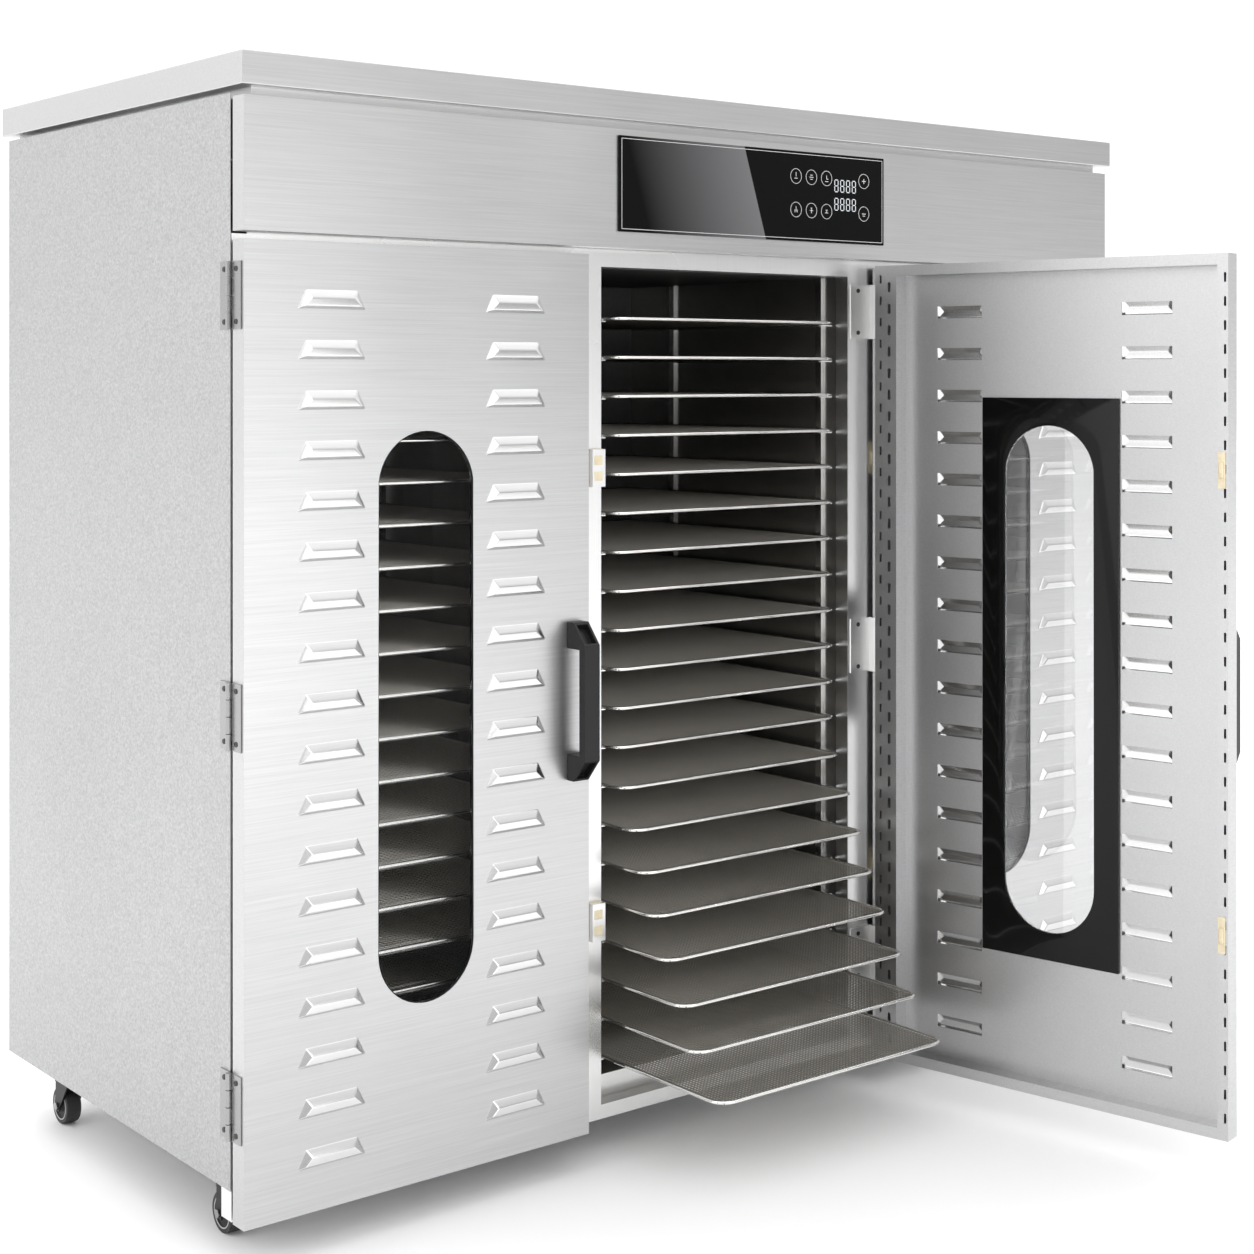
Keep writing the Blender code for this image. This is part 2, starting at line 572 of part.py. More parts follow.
def make_door(bay, x_hinge, x_free, axis, turn):
    """One door, drawn closed and carried by the empty on its hinge axis.

    A folded shell with pressed slots and a stadium window, the glass behind it and a bridge handle. The
    door halves of the hinges and the strikes that meet the catches are fixed to the shell.
    """
    pivot = make_empty(f"{bay}_door_hinge", axis[0], axis[1], turn=turn, parent=cabinet)
    inward = 1 if x_free > x_hinge else -1
    low, high = min(x_hinge, x_free), max(x_hinge, x_free)
    centre = (low + high) / 2

    bm = bmesh.new()
    add_box(bm, (low, 0, DOOR_BOTTOM), (high, DOOR_T, DOOR_TOP))
    shell = place(f"{bay}_door_shell", bm, materials["brushed_steel"], pivot)
    bm = bmesh.new()
    t = SHEET
    add_box(bm, (low + t, t, DOOR_BOTTOM + t), (high - t, DOOR_T - t, DOOR_TOP - t))
    cut(shell, bm, pivot=pivot)
    bm = bmesh.new()
    left, right = (HINGE_FLANGE, FLANGE) if inward > 0 else (FLANGE, HINGE_FLANGE)
    add_box(bm, (low + left, DOOR_T / 2, DOOR_BOTTOM + FLANGE), (high - right, DOOR_T + 0.01, DOOR_TOP - FLANGE))
    cut(shell, bm, pivot=pivot)
    bm = bmesh.new()
    add_stadium(bm, centre, WINDOW_Z, WINDOW_W, WINDOW_H, -0.01, 0.01)
    for column in (-1, 1):
        x = centre + column * LOUVER_SPREAD * (high - low)
        for row in range(LOUVER_ROWS):
            z = LOUVER_TOP_Z - row * LOUVER_PITCH
            add_box(bm, (x - LOUVER_L / 2, -0.01, z - LOUVER_GAP / 2), (x + LOUVER_L / 2, 0.01, z + LOUVER_GAP / 2))
    cut(shell, bm, pivot=pivot)

    bm = bmesh.new()
    add_box(bm, (centre - GLASS_W / 2, t + CLEAR, WINDOW_Z - GLASS_H / 2),
            (centre + GLASS_W / 2, t + CLEAR + GLASS_T, WINDOW_Z + GLASS_H / 2))
    place(f"{bay}_door_glass", bm, materials["window_glass"], pivot)

    top, grip = HANDLE_H / 2, HANDLE_GRIP / 2
    chamfer = HANDLE_OUT - HANDLE_BAR
    side_view = [(-CLEAR, -top), (-CLEAR, -grip), (-chamfer, -grip), (-chamfer, grip), (-CLEAR, grip),
                 (-CLEAR, top), (-0.014, top), (-HANDLE_OUT, grip + 0.006), (-HANDLE_OUT, -grip - 0.006),
                 (-0.014, -top)]
    bm = outline_bmesh(side_view, HANDLE_W)
    x = x_free - inward * HANDLE_IN
    for vert in bm.verts:
        vert.co = Vector((x + vert.co.z, vert.co.x, HANDLE_Z + vert.co.y))
    place(f"{bay}_door_handle", bm, materials["black_plastic"], pivot)

    thin = LEAF_T if bay != "middle" else CRANK_T
    start, end = (axis[1] - KNUCKLE_R - LEAF_W, axis[1] - KNUCKLE_R - CLEAR)
    bridge = (end - 0.001, axis[1])
    if bay == "middle":
        start, end = (0.0003, LEAF_W)
        bridge = (axis[1] + (KNUCKLE_BORE + KNUCKLE_R) / 2, 0.001)
    low, high = sorted((x_hinge + inward * WELD, x_hinge - inward * thin))
    inner, outer = sorted((x_hinge - inward * 0.0003, x_hinge - inward * (thin - 0.0003)))
    bm = bmesh.new()
    for z in HINGE_ZS:
        add_box(bm, (low, start, z - HINGE_H / 2), (high, end, z + HINGE_H / 2))
        add_box(bm, (inner, bridge[0], z + 0.0008), (outer, bridge[1], z + HINGE_H / 2 - 0.0003))
        add_turned(bm, (*axis, z), (0, 0, 1),
                   [(KNUCKLE_BORE, 0.0005), (KNUCKLE_R, 0.0005), (KNUCKLE_R, HINGE_H / 2),
                    (KNUCKLE_BORE, HINGE_H / 2)], 12)
    x = x_free - inward * 0.0080
    for z in CATCH_ZS:
        add_box(bm, (x - 0.0055, DOOR_T - WELD, z - 0.022), (x + 0.0055, DOOR_T + 0.0050, z + 0.022))
    cut(shell, bm, "UNION", pivot)


def caster_places():
    return [(side * CASTER_X, y) for side in (-1, 1) for y in CASTER_YS]


def make_casters():
    """Four stem casters: a black fork that swivels in the base pan, and a wheel on its axle."""
    for index, (x, y) in enumerate(caster_places(), 1):
        swivel = make_empty(f"caster_swivel_{index}", x, y, parent=cabinet)
        axle_y = y + CASTER_TRAIL
        legs = [(y - 0.020, FORK_TOP_Z), (axle_y - 0.008, WHEEL_R), (axle_y - 0.005, WHEEL_R - 0.007),
                (axle_y + 0.005, WHEEL_R - 0.007), (axle_y + 0.008, WHEEL_R), (y + 0.020, FORK_TOP_Z - 0.012),
                (y + 0.020, FORK_TOP_Z)]
        inner = WHEEL_W / 2 + 0.0015
        bm = bmesh.new()
        width = inner + FORK_LEG + 0.0006
        add_box(bm, (x - width, y - 0.021, FORK_TOP_Z - 0.0035), (x + width, y + 0.021, FORK_TOP_Z + 0.006))
        fork = place(f"caster_fork_{index}", bm, materials["black_plastic"], swivel)
        for side in (-1, 1):
            leg = outline_bmesh(legs, FORK_LEG)
            for vert in leg.verts:
                vert.co = Vector((x + side * (inner + FORK_LEG / 2) + vert.co.z, vert.co.x, vert.co.y))
            cut(fork, leg, "UNION", swivel)
        bm = bmesh.new()
        add_rod(bm, (x, axle_y, WHEEL_R), (1, 0, 0), AXLE_R, 2 * (inner + FORK_LEG) + 0.003, 12)
        cut(fork, bm, "UNION", swivel)
        bm = bmesh.new()
        head = FORK_TOP_Z + 0.004
        collar = PANEL_BOTTOM + FRAME_SHEET + CLEAR
        add_turned(bm, (x, y, 0), (0, 0, 1),
                   [(0, head), (0.015, head), (0.015, PANEL_BOTTOM - CLEAR), (STEM_R, PANEL_BOTTOM - CLEAR),
                    (STEM_R, collar), (0.008, collar), (0.008, collar + 0.004), (0, collar + 0.004)], 12)
        cut(fork, bm, "UNION", swivel)

        axle = make_empty(f"caster_axle_{index}", 0, CASTER_TRAIL, WHEEL_R, parent=swivel)
        axle_centre = Vector((x, axle_y, WHEEL_R))
        half = WHEEL_W / 2
        bm = bmesh.new()
        add_turned(bm, axle_centre, (1, 0, 0),
                   [(AXLE_R + 0.0004, -half), (0.016, -half), (WHEEL_R - 0.003, -half), (WHEEL_R, -half + 0.004),
                    (WHEEL_R, half - 0.004), (WHEEL_R - 0.003, half), (0.016, half), (AXLE_R + 0.0004, half)], 24)
        bmesh.ops.translate(bm, verts=bm.verts, vec=-axle_centre)
        wheel = place(f"caster_wheel_{index}", bm, materials["caster_rubber"])
        wheel.parent = axle


clear_scene()
parts = make_collection("food_dehydrator")
cutters = make_collection("cutters", hidden=True)
materials = {
    "brushed_steel": make_material("brushed_steel", (0.72, 0.72, 0.71), 0.32, 1.0),
    "embossed_steel": make_material("embossed_steel", (0.66, 0.66, 0.65), 0.5, 0.8),
    "bright_steel": make_material("bright_steel", (0.78, 0.78, 0.77), 0.2, 1.0),
    "dark_enamel": make_material("dark_enamel", (0.05, 0.05, 0.05), 0.5, 0.2),
    "black_plastic": make_material("black_plastic", (0.03, 0.03, 0.03), 0.45, 0.0),
    "caster_rubber": make_material("caster_rubber", (0.02, 0.02, 0.02), 0.6, 0.0),
    "black_glass": make_material("black_glass", (0.01, 0.01, 0.01), 0.05, 0.0),
    "window_glass": make_material("window_glass", (0.20, 0.20, 0.20), 0.05, 0.0, 0.4),
    "circuit_green": make_material("circuit_green", (0.05, 0.25, 0.10), 0.5, 0.0),
}
GLAND_X, GLAND_Z = BODY_HALF - 0.12, 0.180
CENTRE_Y = (free_corner_y() + LID_BACK) / 2
cabinet = make_empty("cabinet_origin", 0, -CENTRE_Y)

make_casing()
make_frame()
make_chambers()
make_racks()
for tray_level in range(1, LEVELS + 1):
    make_tray(tray_level)
make_fans()
make_controls()
half_middle = MIDDLE_DOOR_W / 2
make_door("left", -BODY_HALF, -half_middle - DOOR_GAP, (-BODY_HALF - SIDE_AXIS_OUT, SIDE_AXIS_Y), 0.0)
make_door("middle", half_middle, -half_middle, MIDDLE_AXIS, MIDDLE_OPEN)
make_door("right", BODY_HALF, half_middle + DOOR_GAP, (BODY_HALF + SIDE_AXIS_OUT, SIDE_AXIS_Y), 0.0)
make_casters()
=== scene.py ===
import json
import math

import bpy
from mathutils import Matrix, Vector

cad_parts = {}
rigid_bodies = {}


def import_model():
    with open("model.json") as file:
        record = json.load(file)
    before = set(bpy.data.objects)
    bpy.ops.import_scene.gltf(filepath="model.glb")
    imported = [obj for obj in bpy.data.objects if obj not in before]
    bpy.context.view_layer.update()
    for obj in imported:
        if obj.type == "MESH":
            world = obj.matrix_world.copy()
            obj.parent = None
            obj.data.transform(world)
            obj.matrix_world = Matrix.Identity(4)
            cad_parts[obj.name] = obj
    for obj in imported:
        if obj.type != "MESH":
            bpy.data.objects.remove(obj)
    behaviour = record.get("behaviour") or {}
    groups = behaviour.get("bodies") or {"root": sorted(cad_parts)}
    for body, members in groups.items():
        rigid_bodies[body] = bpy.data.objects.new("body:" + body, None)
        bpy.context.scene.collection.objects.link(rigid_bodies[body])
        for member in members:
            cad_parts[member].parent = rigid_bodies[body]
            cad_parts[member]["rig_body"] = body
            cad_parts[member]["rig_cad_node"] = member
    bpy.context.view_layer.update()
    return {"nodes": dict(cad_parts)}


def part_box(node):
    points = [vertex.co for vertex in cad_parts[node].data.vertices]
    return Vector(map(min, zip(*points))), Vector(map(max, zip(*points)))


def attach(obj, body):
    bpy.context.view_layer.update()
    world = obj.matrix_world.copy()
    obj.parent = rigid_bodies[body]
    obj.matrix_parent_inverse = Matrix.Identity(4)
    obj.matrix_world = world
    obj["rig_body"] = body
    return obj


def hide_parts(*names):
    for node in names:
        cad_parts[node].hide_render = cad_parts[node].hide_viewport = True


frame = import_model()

front_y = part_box("front_fascia")[0][1]
body_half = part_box("front_fascia")[1][0]
nodes = frame["nodes"]

# Turns and places that several sections share. Lengths are in metres.
to_front = (math.radians(90), 0, 0)
to_side = (0, math.radians(90), 0)
post_x = 0.273
fold_x = 0.765
catch_zs = (0.9215, 0.3175)
hinge_zs = (1.1387, 0.6454, 0.1885)
hinge_screw_dzs = (-0.031, 0.031)
window_z = 0.6235
tray_levels = range(1, 21)


def new_material(name):
    """A material, with its node tree and its main shader."""
    made = bpy.data.materials.new(name)
    made.use_nodes = True
    return made, made.node_tree, made.node_tree.nodes["Principled BSDF"]


def finish_node(node, material):
    """Gives a solid that is shown as it is its finish."""
    nodes[node].data.materials.clear()
    nodes[node].data.materials.append(material)


def select_only(piece):
    bpy.ops.object.select_all(action="DESELECT")
    piece.select_set(True)
    bpy.context.view_layer.objects.active = piece


def select_faces(piece, wanted):
    """Goes into edit mode on the active piece, with only the wanted faces selected."""
    bpy.ops.object.mode_set(mode="EDIT")
    bpy.ops.mesh.select_mode(type="FACE")
    bpy.ops.mesh.select_all(action="DESELECT")
    bpy.ops.object.mode_set(mode="OBJECT")
    for face in piece.data.polygons:
        face.select = wanted(face)
    bpy.ops.object.mode_set(mode="EDIT")


def added(primitive, **settings):
    """A new primitive with its place, turn and size applied to its mesh."""
    bpy.ops.object.select_all(action="DESELECT")
    primitive(**settings)
    bpy.ops.object.transform_apply(location=True, rotation=True, scale=True)
    return bpy.context.object


# Studio. A wide pale floor meets a white surround that is about half as bright in front as behind, and
# brighter overhead. Three large soft lamps stand round the cabinet: a high one for the doors, one for the
# side panel and one that reaches into the bays.
camera_data = bpy.data.cameras.new("camera")
camera = bpy.data.objects.new("camera", camera_data)
bpy.context.scene.collection.objects.link(camera)
camera.location = (-1.9516, front_y - 2.1813, 1.046)
camera.rotation_euler = (math.radians(90), 0, math.radians(-38.57))
camera_data.lens = 60.24
camera_data.sensor_width = 36
camera_data.shift_y = -0.2014
bpy.context.scene.camera = camera

bpy.ops.object.select_all(action="DESELECT")
bpy.ops.mesh.primitive_plane_add(size=60, location=(0, 0, 0))
floor = bpy.context.object
floor.name = "studio_floor"
floor_paint, _, shader = new_material("studio_floor")
shader.inputs["Base Color"].default_value = (0.94, 0.94, 0.94, 1)
shader.inputs["Roughness"].default_value = 0.7
floor.data.materials.append(floor_paint)

surround = bpy.data.worlds.new("studio")
bpy.context.scene.world = surround
surround.use_nodes = True
tree = surround.node_tree
tree.nodes["Background"].inputs["Color"].default_value = (1, 1, 1, 1)
where = tree.nodes.new("ShaderNodeTexCoord")
axes = tree.nodes.new("ShaderNodeSeparateXYZ")
room = tree.nodes.new("ShaderNodeMapRange")
room.inputs["From Min"].default_value = -0.75
room.inputs["From Max"].default_value = 0.20
room.inputs["To Min"].default_value = 0.55
room.inputs["To Max"].default_value = 1.20
overhead = tree.nodes.new("ShaderNodeMapRange")
overhead.inputs["From Min"].default_value = 0.10
overhead.inputs["From Max"].default_value = 0.75
overhead.inputs["To Min"].default_value = 0.0
overhead.inputs["To Max"].default_value = 0.75
both = tree.nodes.new("ShaderNodeMath")
tree.links.new(where.outputs["Generated"], axes.inputs["Vector"])
tree.links.new(axes.outputs["Y"], room.inputs["Value"])
tree.links.new(axes.outputs["Z"], overhead.inputs["Value"])
tree.links.new(room.outputs["Result"], both.inputs[0])
tree.links.new(overhead.outputs["Result"], both.inputs[1])
tree.links.new(both.outputs["Value"], tree.nodes["Background"].inputs["Strength"])
bpy.context.scene.view_settings.view_transform = "Standard"

for name, spot, aim, size, power in (
    ("key", (-0.9, -3.4, 3.2), (0.1, 0, 0.7), 2.6, 20),
    ("side", (-4.2, 0.2, 2.4), (-0.7, 0.2, 0.7), 2.4, 12),
    ("bay", (0.2, -3.2, 0.9), (0.0, 0.2, 0.7), 1.6, 10),
):
    lamp_data = bpy.data.lights.new(name, "AREA")
    lamp_data.shape = "SQUARE"
    lamp_data.size = size
    lamp_data.energy = power
    lamp = bpy.data.objects.new(name, lamp_data)
    bpy.context.scene.collection.objects.link(lamp)
    lamp.location = spot
    lamp.rotation_euler = (Vector(aim) - Vector(spot)).to_track_quat("-Z", "Y").to_euler()


# Cabinet skin. Stainless sheet folded and screwed together: the lid and the fascia are brushed along their
# length, and the side and back panels are the fine speckled kind.
def steel(name, colour, roughness, stretch, grain=0.05, speckle=0.0, turn=0.0):
    """Stainless steel with a stretched grain, or a fine speckle where the stretch is even."""
    made, tree, shader = new_material(name)
    shader.inputs["Metallic"].default_value = 1.0
    where = tree.nodes.new("ShaderNodeTexCoord")
    mapping = tree.nodes.new("ShaderNodeMapping")
    mapping.inputs["Rotation"].default_value = (0, 0, turn)
    mapping.inputs["Scale"].default_value = stretch
    noise = tree.nodes.new("ShaderNodeTexNoise")
    noise.inputs["Scale"].default_value = 1.0
    noise.inputs["Detail"].default_value = 3.0
    noise.inputs["Roughness"].default_value = 0.65
    broad = tree.nodes.new("ShaderNodeTexNoise")
    broad.inputs["Scale"].default_value = 2.3
    broad.inputs["Detail"].default_value = 2.0
    blend = tree.nodes.new("ShaderNodeMix")
    blend.data_type = "RGBA"
    blend.inputs["A"].default_value = (*[c * (1 - grain - speckle) for c in colour], 1)
    blend.inputs["B"].default_value = (*[min(1, c * (1 + grain + speckle)) for c in colour], 1)
    gloss = tree.nodes.new("ShaderNodeMapRange")
    gloss.inputs["From Min"].default_value = 0.25
    gloss.inputs["From Max"].default_value = 0.75
    gloss.inputs["To Min"].default_value = roughness - 0.05
    gloss.inputs["To Max"].default_value = roughness + 0.07
    bump = tree.nodes.new("ShaderNodeBump")
    bump.inputs["Strength"].default_value = 0.25
    bump.inputs["Distance"].default_value = 0.00012 + 0.0012 * speckle
    link = tree.links.new
    link(where.outputs["Object"], mapping.inputs["Vector"])
    link(where.outputs["Object"], broad.inputs["Vector"])
    link(mapping.outputs["Vector"], noise.inputs["Vector"])
    link(noise.outputs["Fac"], blend.inputs["Factor"])
    link(blend.outputs["Result"], shader.inputs["Base Color"])
    link(broad.outputs["Fac"], gloss.inputs["Value"])
    link(gloss.outputs["Result"], shader.inputs["Roughness"])
    link(noise.outputs["Fac"], bump.inputs["Height"])
    link(bump.outputs["Normal"], shader.inputs["Normal"])
    return made


def dress(piece, name, body, slot, material, *stands_for):
    """Names a piece, gives it its finish and lets it ride on its body."""
    piece.name = name
    piece.data.materials.clear()
    piece.data.materials.append(material)
    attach(piece, body)
    if stands_for:
        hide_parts(*stands_for)
    return piece


def even_shading(piece, angle=40):
    """Smooth over the roundings, with the flats left flat."""
    select_only(piece)
    bpy.ops.object.shade_smooth_by_angle(angle=math.radians(angle))
    flats = piece.modifiers.new("flats", "WEIGHTED_NORMAL")
    flats.weight = 100
    flats.keep_sharp = True
    bpy.ops.object.modifier_apply(modifier=flats.name)
    return piece


def round_edges(piece, width, segments=2, angle=30):
    select_only(piece)
    edges = piece.modifiers.new("edges", "BEVEL")
    edges.width = width
    edges.segments = segments
    edges.limit_method = "ANGLE"
    edges.angle_limit = math.radians(angle)
    bpy.ops.object.modifier_apply(modifier=edges.name)
    return even_shading(piece)


def block(low, high, rounding=0.0, segments=2):
    """A cube shaped to its two corners, with its edges rounded."""
    low, high = Vector(low), Vector(high)
    piece = added(
        bpy.ops.mesh.primitive_cube_add, size=1, location=(low + high) / 2, scale=high - low
    )
    return round_edges(piece, rounding, segments) if rounding else piece


def folded_copy(node, width):
    """A copy of a folded sheet part with its fold lines rounded as a press leaves them."""
    copy = nodes[node].copy()
    copy.data = nodes[node].data.copy()
    bpy.context.scene.collection.objects.link(copy)
    copy.parent = None
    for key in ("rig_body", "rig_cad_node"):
        if key in copy:
            del copy[key]
    select_only(copy)
    bpy.ops.object.mode_set(mode="EDIT")
    bpy.ops.mesh.select_all(action="SELECT")
    bpy.ops.mesh.remove_doubles(threshold=0.00001)
    bpy.ops.mesh.dissolve_limited(angle_limit=math.radians(1))
    bpy.ops.object.mode_set(mode="OBJECT")
    return round_edges(copy, width) if width else copy


lid_steel = steel("lid_steel", (0.57, 0.57, 0.57), 0.32, (6, 520, 520), grain=0.16)
panel_steel = steel(
    "panel_steel", (0.47, 0.47, 0.475), 0.46, (340, 340, 340), grain=0.05, speckle=0.42
)
lid_low, lid_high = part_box("top_cover")
lid = block((lid_low[0], lid_low[1], 1.383), lid_high, 0.0018, 3)
dress(lid, "lid", "root", "brushed_steel", lid_steel, "top_cover")
plug = block((-fold_x, front_y + 0.012, 1.3728), (fold_x, front_y + 0.692, 1.384))
dress(plug, "lid_underside", "root", "brushed_steel", lid_steel)
fascia = folded_copy("front_fascia", 0.0004)
dress(fascia, "fascia", "root", "brushed_steel", lid_steel, "front_fascia")
for bay, side in (("left", -1), ("right", 1)):
    near, far = sorted((side * (body_half - 0.0012), side * body_half))
    panel = block((near, front_y + 0.033, 0.087), (far, front_y + 0.693, 1.377), 0.0004)
    dress(panel, f"{bay}_side_skin", "root", "embossed_steel", panel_steel, f"{bay}_side_panel")
finish_node("back_panel", panel_steel)
finish_node("base_pan", lid_steel)


# Control strip. A sheet of black glass with a thin printed border, touch keys drawn as rings, and two rows
# of four lit digits. The sheen on its left half, which fades in towards a slanting edge, is drawn in the
# colour of the glass, so it stays where it is when the view or the lamps change.
glass_low, glass_high = (Vector(corner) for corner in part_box("control_glass"))
control_black, tree, shader = new_material("control_black")
shader.inputs["Roughness"].default_value = 0.06
shader.inputs["Specular IOR Level"].default_value = 0.10
where = tree.nodes.new("ShaderNodeTexCoord")
slant = tree.nodes.new("ShaderNodeMapping")
lean = math.radians(17.5)
edge_x = 0.0142
middle_z = (glass_low.z + glass_high.z) / 2
edge_shift = edge_x * math.cos(lean) + middle_z * math.sin(lean)
slant.inputs["Location"].default_value = (-edge_shift, 0, 0)
slant.inputs["Rotation"].default_value = (0, lean, 0)
axes = tree.nodes.new("ShaderNodeSeparateXYZ")
edge = tree.nodes.new("ShaderNodeMapRange")
edge.inputs["From Min"].default_value = -0.20
edge.inputs["From Max"].default_value = 0.0
edge.inputs["To Min"].default_value = 0.0
edge.inputs["To Max"].default_value = 1.0
below = tree.nodes.new("ShaderNodeMath")
below.operation = "LESS_THAN"
below.inputs[1].default_value = 0.0
sheen = tree.nodes.new("ShaderNodeMath")
sheen.operation = "MULTIPLY"
shade = tree.nodes.new("ShaderNodeMix")
shade.data_type = "RGBA"
shade.inputs["A"].default_value = (0.004, 0.004, 0.004, 1)
shade.inputs["B"].default_value = (0.15, 0.15, 0.155, 1)
tree.links.new(where.outputs["Object"], slant.inputs["Vector"])
tree.links.new(slant.outputs["Vector"], axes.inputs["Vector"])
tree.links.new(axes.outputs["X"], edge.inputs["Value"])
tree.links.new(axes.outputs["X"], below.inputs[0])
tree.links.new(edge.outputs["Result"], sheen.inputs[0])
tree.links.new(below.outputs["Value"], sheen.inputs[1])
tree.links.new(sheen.outputs["Value"], shade.inputs["Factor"])
tree.links.new(shade.outputs["Result"], shader.inputs["Base Color"])
control = block(glass_low, glass_high, 0.0008, 2)
dress(control, "control_panel", "root", "black_glass", control_black, "control_glass")

print_white, _, shader = new_material("print_white")
shader.inputs["Base Color"].default_value = (0.75, 0.75, 0.75, 1)
shader.inputs["Roughness"].default_value = 0.5
face_y = glass_low.y - 0.00015
print_y = glass_low.y + 0.0002


def printed_bar(x, z, width, height):
    low = (x - width / 2, face_y, z - height / 2)
    return block(low, (x + width / 2, print_y, z + height / 2))


def joined(pieces):
    bpy.ops.object.select_all(action="DESELECT")
    for piece in pieces:
        piece.select_set(True)
    bpy.context.view_layer.objects.active = pieces[0]
    bpy.ops.object.join()
    return bpy.context.object


printed = []
inset, line = 0.004, 0.0006
x0, x1, z0, z1 = (
    glass_low.x + inset, glass_high.x - inset, glass_low.z + inset, glass_high.z - inset
)
for z in (z0, z1):
    printed.append(printed_bar((x0 + x1) / 2, z, x1 - x0, line))
for x in (x0, x1):
    printed.append(printed_bar(x, (z0 + z1) / 2, line, z1 - z0))
key_xs = (0.092, 0.122, 0.152, 0.227)
key_upper_z, key_lower_z = 1.3275, 1.280
for x in key_xs:
    for z in (key_upper_z, key_lower_z):
        printed.append(added(
            bpy.ops.mesh.primitive_torus_add, location=(x, glass_low.y, z), rotation=to_front,
            major_radius=0.0105, minor_radius=0.00032, major_segments=36, minor_segments=6,
        ))
# Each key's sign is a few strokes: an arrow, a plus, a clock hand or a bar. A stroke is its place from the
# key's middle, across and up, and its width and height.
signs = {
    key_upper_z: (
        ((0, 0.0025, 0.0008, 0.006), (0, -0.003, 0.006, 0.0008)),
        ((0, 0, 0.0075, 0.0008), (0, 0.003, 0.0045, 0.0008), (0, -0.003, 0.0045, 0.0008)),
        ((0, 0.0015, 0.0008, 0.0055), (0.0015, -0.001, 0.0035, 0.0008), (0, -0.0045, 0.006, 0.0008)),
        ((0, 0, 0.0075, 0.0009), (0, 0, 0.0009, 0.0075)),
    ),
    key_lower_z: (
        ((0, 0.001, 0.0008, 0.0075), (-0.0022, -0.002, 0.0008, 0.004), (0.0022, -0.002, 0.0008, 0.004)),
        ((0, 0, 0.0008, 0.0075), (0, 0.0, 0.006, 0.0008), (0, 0.0035, 0.003, 0.0008)),
        ((0, -0.002, 0.006, 0.0008), (0, 0.002, 0.004, 0.0008), (0, 0, 0.0008, 0.0045)),
        ((0, 0, 0.0075, 0.0009), (0, -0.003, 0.0045, 0.0008)),
    ),
}
for z, row in signs.items():
    for x, strokes in zip(key_xs, row):
        for dx, dz, width, height in strokes:
            printed.append(printed_bar(x + dx, z + dz, width, height))
dress(joined(printed), "control_print", "root", "black_glass", print_white)

digit_light, _, shader = new_material("digit_light")
shader.inputs["Base Color"].default_value = (0.55, 0.57, 0.60, 1)
shader.inputs["Emission Color"].default_value = (0.75, 0.80, 0.86, 1)
shader.inputs["Emission Strength"].default_value = 0.25
segments = []
wide, tall, stroke, gap = 0.0068, 0.0170, 0.0013, 0.0016
for row_z in (1.318, 1.2915):
    for column in range(4):
        x = 0.1715 + column * 0.0117
        for z in (row_z + tall / 2, row_z, row_z - tall / 2):
            segments.append(printed_bar(x, z, wide - gap, stroke))
        for side in (-wide / 2, wide / 2):
            for z in (row_z + tall / 4, row_z - tall / 4):
                segments.append(printed_bar(x + side, z, stroke, tall / 2 - gap))
dress(joined(segments), "control_digits", "root", "black_glass", digit_light)


# Front frame. Posts, header and sill in one welded frame of bright brushed sheet, with ivory plastic
# catches screwed to the posts.
frame_steel = steel("frame_steel", (0.86, 0.86, 0.855), 0.28, (900, 900, 6))
front = folded_copy("front_frame", 0.0004)
dress(front, "door_frame", "root", "brushed_steel", frame_steel, "front_frame")

ivory, tree, shader = new_material("ivory_plastic")
shader.inputs["Roughness"].default_value = 0.42
shader.inputs["Subsurface Weight"].default_value = 0.1
shader.inputs["Subsurface Radius"].default_value = (0.002, 0.0015, 0.001)
mottle = tree.nodes.new("ShaderNodeTexNoise")
mottle.inputs["Scale"].default_value = 140
coat = tree.nodes.new("ShaderNodeMix")
coat.data_type = "RGBA"
coat.inputs["A"].default_value = (0.60, 0.50, 0.31, 1)
coat.inputs["B"].default_value = (0.80, 0.73, 0.55, 1)
where = tree.nodes.new("ShaderNodeTexCoord")
tree.links.new(where.outputs["Object"], mottle.inputs["Vector"])
tree.links.new(mottle.outputs["Fac"], coat.inputs["Factor"])
tree.links.new(coat.outputs["Result"], shader.inputs["Base Color"])

catch_pieces = []
y = front_y + 0.033
for post, inward in ((-post_x, 1), (-post_x, -1), (post_x, 1)):
    near, far = sorted((post + inward * 0.0202, post + inward * 0.0423))
    for z in catch_zs:
        plate = ((near, y - 0.0050, z - 0.0255), (far, y + 0.0002, z + 0.0255))
        catch_pieces.append(block(*plate, 0.0012, 3))
        for low_z, high_z in ((z - 0.017, z - 0.004), (z + 0.004, z + 0.017)):
            jaw = ((near + 0.003, y - 0.0110, low_z), (far - 0.005, y - 0.004, high_z))
            catch_pieces.append(block(*jaw, 0.0010))
        for dz in (-0.021, 0.021):
            head = added(
                bpy.ops.mesh.primitive_cylinder_add, vertices=16, radius=0.0024, depth=0.0024,
                location=((near + far) / 2, y - 0.0054, z + dz), rotation=to_front,
            )
            catch_pieces.append(round_edges(head, 0.0005))
dress(joined(catch_pieces), "door_catches", "root", "brushed_steel", ivory)


